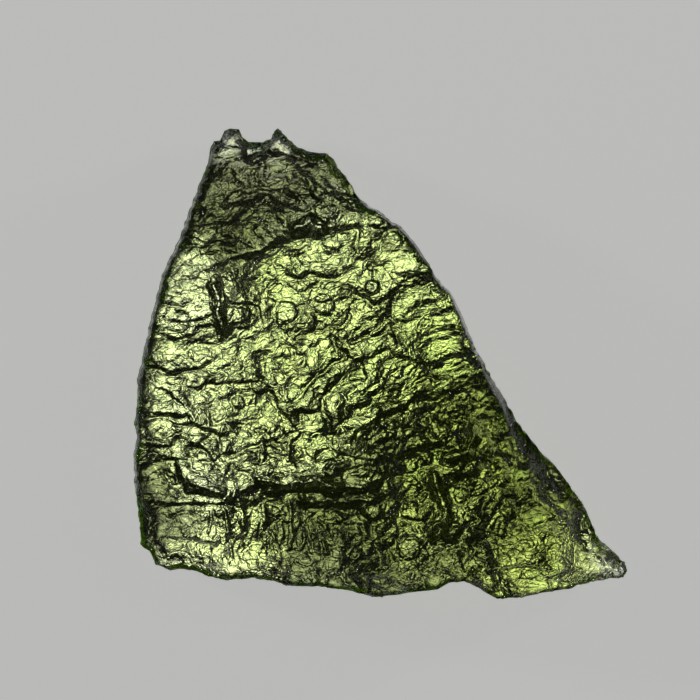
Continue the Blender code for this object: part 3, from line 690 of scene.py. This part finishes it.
def front_relief(x, y):
    """The relief between the creases, the broad part of it as strong as the place asks."""
    zone = zones(x, y)
    broad = sum(shingle(x, y, *row) for row in SHINGLES)
    broad += sum(zone[row[0]] * scale(x, y, *row[1:]) for row in BROAD_SCALES)
    fine = sum(zone[row[0]] * scale(x, y, *row[1:]) for row in FINE_SCALES)
    fine += sum(zone[row[0]] * wrinkle(x, y, *row[1:]) for row in WRINKLES)
    return spread(STRENGTHS, x, y) * broad + fine + lumps(x, y, SWELL_HEIGHT, SWELL, 71)


def wear(x, y):
    """How near a worn place is, from 0 to 1."""
    worn = np.zeros_like(x)
    for cx, cy, radius in FROSTED:
        worn = np.maximum(worn, 1.0 - np.hypot(x - cx, y - cy) / radius)
    return worn


def grains(x, y):
    """Small rounded grains on the worn places."""
    nearest, _ = cells(x / GRAIN_SIZE, y / GRAIN_SIZE, 95)
    return GRAIN_HEIGHT * smooth(2.0 * wear(x, y)) * (0.5 - nearest)


def front_height(x, y, edge):
    """The front face's height: the full thickness with its relief, down to the rim at the edge."""
    creased, by_crease = crease_depth(x, y)
    trenched, by_trench = trench_depth(x, y)
    pitted, by_pit = pit_depth(x, y)
    by_line = np.maximum(by_crease, by_trench)
    relief = front_relief(x, y) * (1.0 - CREASE_CALM * by_line) * (1.0 - PIT_CALM * by_pit)
    full = spread(THICKNESS, x, y) + relief - (creased + trenched) - pitted
    width = spread(EDGE_WIDTHS, x, y) * (1.0 + lumps(x, y, *WIDTH_NOISE))
    lip = spread(LIPS, x, y) * (1.0 + lumps(x, y, *LIP_NOISE))
    risen = np.clip((edge - lip) / width, 0.0, 1.0)
    share = (1.0 - EDGE_ROUND) * risen + EDGE_ROUND * np.sin(risen * math.pi / 2.0)
    rim = spread(RIM_HEIGHTS, x, y) + lumps(x, y, *RIM_NOISE)
    return np.maximum(rim + (full - rim) * share + grains(x, y), RIM_MIDDLE + 0.2)


def back_height(x, y, edge):
    """The back face's height: knobs with worn flats, lifted a little near the edge."""
    nearest, _ = cells(x / BACK_CELL, y / BACK_CELL, 81)
    small, _ = cells(x / BACK_SMALL_CELL, y / BACK_SMALL_CELL, 83)
    knobs = BACK_DEPTH * nearest + BACK_SMALL_DEPTH * small
    raised = BACK_LIFT * (1.0 - smooth(edge / BACK_LIFT_WIDTH))
    return np.maximum(0.0, knobs + raised - BACK_WORN)


def side_cups(along, height):
    """How deep the cups of the side go in."""
    bend = SIDE_BEND * ripple(along / SIDE_BEND_SIZE[0], height / SIDE_BEND_SIZE[1], 18)
    broad, _ = cells(along / SIDE_CELL[0] + bend, height / SIDE_CELL[1] + bend, 19)
    small, _ = cells(along / SIDE_FINE_CELL[0], height / SIDE_FINE_CELL[1] + bend, 20)
    cup = SIDE_DEPTH * np.clip(SIDE_CREST - broad, 0.0, 1.0)
    return cup + SIDE_FINE * np.clip(SIDE_CREST - small, 0.0, 1.0)


def rim_rings(rim):
    """The rings of the side, from under the front's edge to over the back's, with heights."""
    x, y = rim[:, 0], rim[:, 1]
    out = outward(rim)
    along = np.cumsum(np.linalg.norm(rim - np.roll(rim, 1, axis=0), axis=1))
    lift = SIDE_LIFT * ripple(x * 0.8, y * 0.8, 17)
    top = SIDE_TOP * spread(RIM_HEIGHTS, x, y)
    rings = []
    for share in np.linspace(0.0, 1.0, SIDE_RINGS):
        height = top + (RIM_MIDDLE + lift - top) * share
        inset = SIDE_INSET + side_cups(along, height) * smooth(5.0 * (1.0 - share))
        rings.append(np.column_stack([rim - out * inset[:, None], height]))
    rings[-1] = np.column_stack([rim, RIM_MIDDLE + lift])
    rings.append(np.column_stack([rim - out * LOW_RING_INSET, LOW_RING_HEIGHT + 0.5 * lift]))
    return rings


def band_faces(starts, count):
    """Two triangles to each point, between each ring of points and the next."""
    faces = []
    for above, below in zip(starts, starts[1:]):
        for i in range(count):
            j = (i + 1) % count
            faces.append((above + i, above + j, below + j))
            faces.append((above + i, below + j, below + i))
    return faces


def stone_mesh():
    """(points, triangles, how many of the points are on the front and the sides)."""
    rim = rim_ring()
    upper = rim - outward(rim) * CHAMFER
    lower = rim - outward(rim) * 1.6 * CHAMFER
    top, top_faces = filled(upper, FRONT_STEP)
    bottom, bottom_faces = filled(lower, BACK_STEP)
    top_z = front_height(top[:, 0], top[:, 1], edge_distance(top, upper))
    bottom_edge = edge_distance(bottom, lower)
    bottom_z = back_height(bottom[:, 0], bottom[:, 1], bottom_edge)
    bottom_z = np.where(bottom_edge < 0.02, RIM_LOW, bottom_z)

    sides = rim_rings(rim)
    layers = [np.column_stack([top, top_z])] + sides + [np.column_stack([bottom, bottom_z])]
    count = len(rim)
    starts = [0] + [len(top) + i * count for i in range(len(sides) + 1)]
    faces = list(top_faces)
    faces += [tuple(starts[-1] + i for i in reversed(face)) for face in bottom_faces]
    faces += band_faces(starts, count)
    return np.vstack(layers) * MM, faces, len(top) + count * len(sides)


def frost(verts):
    """How dull each point of the glass is, from 0 to 1."""
    x, y = verts[:, 0] / MM, verts[:, 1] / MM
    patchy = np.full_like(x, 0.5)
    for rate, amount, seed in FROST_PATCHES:
        patchy += amount * ripple(x * rate, y * rate, seed)
    return smooth(2.0 * wear(x, y) * patchy)


def add_node(tree, kind, **inputs):
    node = tree.nodes.new(kind)
    for name, value in inputs.items():
        node.inputs[name].default_value = value
    return node


def math_node(tree, operation, first, second):
    """A Math node on an output and either a number or another output."""
    node = tree.nodes.new("ShaderNodeMath")
    node.operation = operation
    tree.links.new(first, node.inputs[0])
    if isinstance(second, float):
        node.inputs[1].default_value = second
    else:
        tree.links.new(second, node.inputs[1])
    return node.outputs["Value"]


def point_value(tree, name):
    """A value kept on the mesh's points."""
    node = tree.nodes.new("ShaderNodeAttribute")
    node.attribute_name = name
    return node.outputs["Fac"]


def flow_places(tree):
    """Places in millimetres, turned along the flow and bent by slow noise."""
    place = tree.nodes.new("ShaderNodeTexCoord")
    flow = tree.nodes.new("ShaderNodeMapping")
    flow.inputs["Rotation"].default_value = (0.0, 0.0, math.radians(ETCH_TURN))
    flow.inputs["Scale"].default_value = (1.0 / MM, 1.0 / MM, 1.0 / MM)
    tree.links.new(place.outputs["Object"], flow.inputs["Vector"])
    sway = add_node(tree, "ShaderNodeTexNoise", Scale=1.1, Detail=2.0, Roughness=0.6)
    tree.links.new(flow.outputs["Vector"], sway.inputs["Vector"])
    bent = tree.nodes.new("ShaderNodeVectorMath")
    bent.operation = "MULTIPLY_ADD"
    bent.inputs[1].default_value = (ETCH_SWAY, ETCH_SWAY, ETCH_SWAY)
    tree.links.new(sway.outputs["Color"], bent.inputs[0])
    tree.links.new(flow.outputs["Vector"], bent.inputs[2])
    return bent.outputs["Vector"]


def etched_grooves(tree, vector, rate, width, depth):
    """Narrow grooves round stretched cells."""
    stretched = tree.nodes.new("ShaderNodeMapping")
    stretched.inputs["Scale"].default_value = rate
    tree.links.new(vector, stretched.inputs["Vector"])
    cell = add_node(tree, "ShaderNodeTexVoronoi", Scale=1.0)
    cell.feature = "DISTANCE_TO_EDGE"
    tree.links.new(stretched.outputs["Vector"], cell.inputs["Vector"])
    groove = tree.nodes.new("ShaderNodeMapRange")
    groove.inputs["From Max"].default_value = width
    groove.inputs["To Min"].default_value = depth
    groove.inputs["To Max"].default_value = 0.0
    tree.links.new(cell.outputs["Distance"], groove.inputs["Value"])
    return groove.outputs["Result"]


def etched_normal(tree):
    """The skin's finest etching, as bump."""
    vector = flow_places(tree)
    broad, fine = [etched_grooves(tree, vector, *row) for row in ETCH_GROOVES]
    grain = add_node(tree, "ShaderNodeTexNoise", Scale=4.5, Detail=2.0, Roughness=0.6, Distortion=0.8)
    tree.links.new(vector, grain.inputs["Vector"])
    height = math_node(tree, "ADD", broad, fine)
    grainy = math_node(tree, "MULTIPLY", grain.outputs["Fac"], ETCH_GRAIN)
    bump = add_node(tree, "ShaderNodeBump", Distance=ETCH_DEPTH)
    tree.links.new(point_value(tree, "etched"), bump.inputs["Strength"])
    tree.links.new(math_node(tree, "ADD", height, grainy), bump.inputs["Height"])
    return bump.outputs["Normal"]


def skin_roughness(tree):
    """Glossy, and duller where the glass is worn."""
    dull = tree.nodes.new("ShaderNodeMapRange")
    dull.inputs["To Min"].default_value = GLASS_ROUGHNESS
    dull.inputs["To Max"].default_value = WORN_ROUGHNESS
    tree.links.new(point_value(tree, "frost"), dull.inputs["Value"])
    return dull.outputs["Result"]


def glass():
    """Clear green glass with a finely etched skin, worn dull where it is frosted."""
    material = bpy.data.materials.new("moldavite_glass")
    material.use_nodes = True
    tree = material.node_tree
    shader = tree.nodes["Principled BSDF"]
    shader.inputs["Base Color"].default_value = (1.0, 1.0, 1.0, 1.0)
    shader.inputs["IOR"].default_value = GLASS_IOR
    shader.inputs["Transmission Weight"].default_value = 1.0
    tree.links.new(etched_normal(tree), shader.inputs["Normal"])
    tree.links.new(skin_roughness(tree), shader.inputs["Roughness"])
    absorb = tree.nodes.new("ShaderNodeVolumeAbsorption")
    absorb.inputs["Color"].default_value = GLASS_COLOUR
    absorb.inputs["Density"].default_value = GLASS_DENSITY
    tree.links.new(absorb.outputs["Volume"], tree.nodes["Material Output"].inputs["Volume"])
    return material


def build_stone():
    verts, faces, etched_count = stone_mesh()
    mesh = bpy.data.meshes.new("moldavite_glass")
    mesh.from_pydata(verts.tolist(), [], faces)
    mesh.validate()
    mesh.attributes.new("frost", "FLOAT", "POINT").data.foreach_set("value", frost(verts))
    etched = np.full(len(verts), BACK_ETCHED)
    etched[:etched_count] = FRONT_ETCHED
    mesh.attributes.new("etched", "FLOAT", "POINT").data.foreach_set("value", etched)
    mesh.shade_smooth()
    mesh.materials.append(glass())
    stone = bpy.data.objects.new("moldavite_glass", mesh)
    bpy.context.scene.collection.objects.link(stone)
    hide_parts("moldavite")
    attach(stone, "root")


def plain(name, colour):
    """A dull material of one colour."""
    material = bpy.data.materials.new(name)
    material.use_nodes = True
    shader = material.node_tree.nodes["Principled BSDF"]
    shader.inputs["Base Color"].default_value = colour
    shader.inputs["Roughness"].default_value = DULL
    return material


def stage_piece(name, verts, faces, material):
    mesh = bpy.data.meshes.new(name)
    mesh.from_pydata(verts, [], faces)
    mesh.materials.append(material)
    piece = bpy.data.objects.new(name, mesh)
    bpy.context.scene.collection.objects.link(piece)
    return piece


def within(points, ring):
    """Which points lie inside the ring."""
    crossed = np.zeros(len(points), int)
    for (ax, ay), (bx, by) in zip(ring, np.roll(ring, -1, axis=0)):
        level = (ay > points[:, 1]) != (by > points[:, 1])
        reach = ax + (points[:, 1] - ay) * (bx - ax) / (by - ay if by != ay else 1.0)
        crossed += level & (points[:, 0] < reach)
    return crossed % 2 == 1


def build_floor():
    """A pale floor with an opening under the stone, a little smaller than the stone."""
    ring = resampled(OUTLINE + OUTLINE[:1], HOLE_STEP)[:-1]
    hole = ring - outward(ring) * HOLE_INSET
    size = FLOOR_HALF
    points = [(-size, -size), (-size, size), (size, size), (size, -size)] + [tuple(p) for p in hole]
    count = len(hole)
    bonds = [(i, (i + 1) % 4) for i in range(4)]
    bonds += [(4 + i, 4 + (i + 1) % count) for i in range(count)]
    verts, _, faces, _, _, _ = delaunay_2d_cdt([Vector(p) for p in points], bonds, [], 1, 1e-7)
    centres = np.array([sum((verts[i] for i in face), Vector((0.0, 0.0))) / 3.0 for face in faces])
    faces = [face for face, inside in zip(faces, within(centres, hole)) if not inside]
    paper = plain("floor_paper", FLOOR_COLOUR)
    glow = paper.node_tree.nodes["Principled BSDF"].inputs
    glow["Emission Color"].default_value = FLOOR_GLOW_COLOUR
    glow["Emission Strength"].default_value = FLOOR_GLOW
    return stage_piece("floor", [(v.x * MM, v.y * MM, FLOOR_Z * MM) for v in verts], faces, paper)


def build_well():
    """The dark box under the opening, which holds the lamps."""
    wall, top, deep = WELL_HALF * MM, (FLOOR_Z - WELL_GAP) * MM, -WELL_DEPTH * MM
    square = ((-1, -1), (1, -1), (1, 1), (-1, 1))
    corners = [(sx * wall, sy * wall, z) for z in (top, deep) for sx, sy in square]
    sides = [(i, (i + 1) % 4, 4 + (i + 1) % 4, 4 + i) for i in range(4)] + [(4, 5, 6, 7)]
    return stage_piece("light_well", corners, sides, plain("well_lining", WELL_COLOUR))


def area_light(name, place, aim, size, power, spread_angle=180.0, colour=(1.0, 1.0, 1.0), turn=0.0):
    """A lamp from sizes in millimetres, its spread and turn in degrees."""
    data = bpy.data.lights.new(name, "AREA")
    data.shape = "RECTANGLE"
    data.size, data.size_y = size[0] * MM, size[1] * MM
    data.energy = power
    data.spread = math.radians(spread_angle)
    data.color = colour
    light = bpy.data.objects.new(name, data)
    light.location = Vector(place) * MM
    light.rotation_euler = Vector(aim).to_track_quat("-Z", "Y").to_euler()
    light.rotation_euler.z += math.radians(turn)
    light.visible_camera = False
    bpy.context.scene.collection.objects.link(light)


def build_lights():
    for name, place, size, power, angle, colour in WELL_LAMPS:
        area_light(name, place, WELL_AIM, size, power, angle, colour)
    for name, place, size, power, turn in EDGE_LAMPS:
        area_light(name, place, (0.0, 0.0, 1.0), size, power, EDGE_SPREAD, EDGE_COLOUR, turn)
    for name, place, aim, size, power in STUDIO_LAMPS:
        area_light(name, place, aim, size, power)
    world = bpy.data.worlds.new("studio")
    world.use_nodes = True
    world.node_tree.nodes["Background"].inputs["Color"].default_value = SKY_COLOUR
    world.node_tree.nodes["Background"].inputs["Strength"].default_value = SKY
    bpy.context.scene.world = world
    bpy.context.scene.view_settings.view_transform = "Standard"


def build_camera():
    """Straight above, at the distance where the photograph's width fills the picture."""
    data = bpy.data.cameras.new("camera")
    data.lens = CAMERA_LENS
    data.sensor_width = CAMERA_SENSOR
    data.clip_start = 0.01
    camera = bpy.data.objects.new("camera", data)
    width = PHOTO_SIZE * PIXEL_MM
    distance = width * data.lens / data.sensor_width
    middle_x = (PHOTO_SIZE / 2.0 - ORIGIN_PIXEL[0]) * PIXEL_MM
    middle_y = (ORIGIN_PIXEL[1] - PHOTO_SIZE / 2.0) * PIXEL_MM
    camera.location = (middle_x * MM, middle_y * MM, (distance + RIM_MIDDLE) * MM)
    bpy.context.scene.collection.objects.link(camera)
    bpy.context.scene.camera = camera


build_stone()
floor = build_floor()
well = build_well()
build_lights()
build_camera()

bpy.context.view_layer.update()
